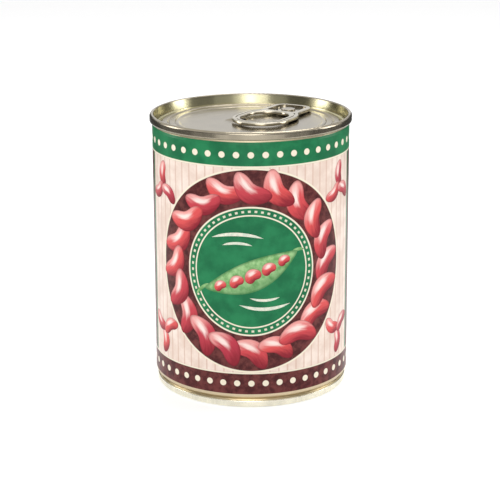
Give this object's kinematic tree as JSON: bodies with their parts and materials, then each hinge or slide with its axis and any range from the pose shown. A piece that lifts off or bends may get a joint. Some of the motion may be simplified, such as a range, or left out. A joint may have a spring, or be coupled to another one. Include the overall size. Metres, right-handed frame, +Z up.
{
  "type": "shut food can of beans",
  "caption": "Shut cylindrical food can of beans with a printed wall, an easy-open lid with a ring tab in its sunk panel, and a necked-in foot for stacking.",
  "frame": {"origin": "middle of the can's resting face, on the can's axis", "axes": "+Z up along the can's axis; -Y towards the front of the print; +X to the right of that front"},
  "size_m": [0.0752, 0.0752, 0.103],
  "materials": {
    "printed_body": "glossy print on tinplate",
    "lid_metal": "lacquered tinplate, satin",
    "tab_metal": "bright, fine rolled grain",
    "foot_metal": "lacquered tinplate, satin"
  },
  "bodies": {
    "root": {"can_body": "printed_body", "lid": "lid_metal", "ring_tab": "tab_metal", "foot_end": "foot_metal"}
  },
  "joints": []
}
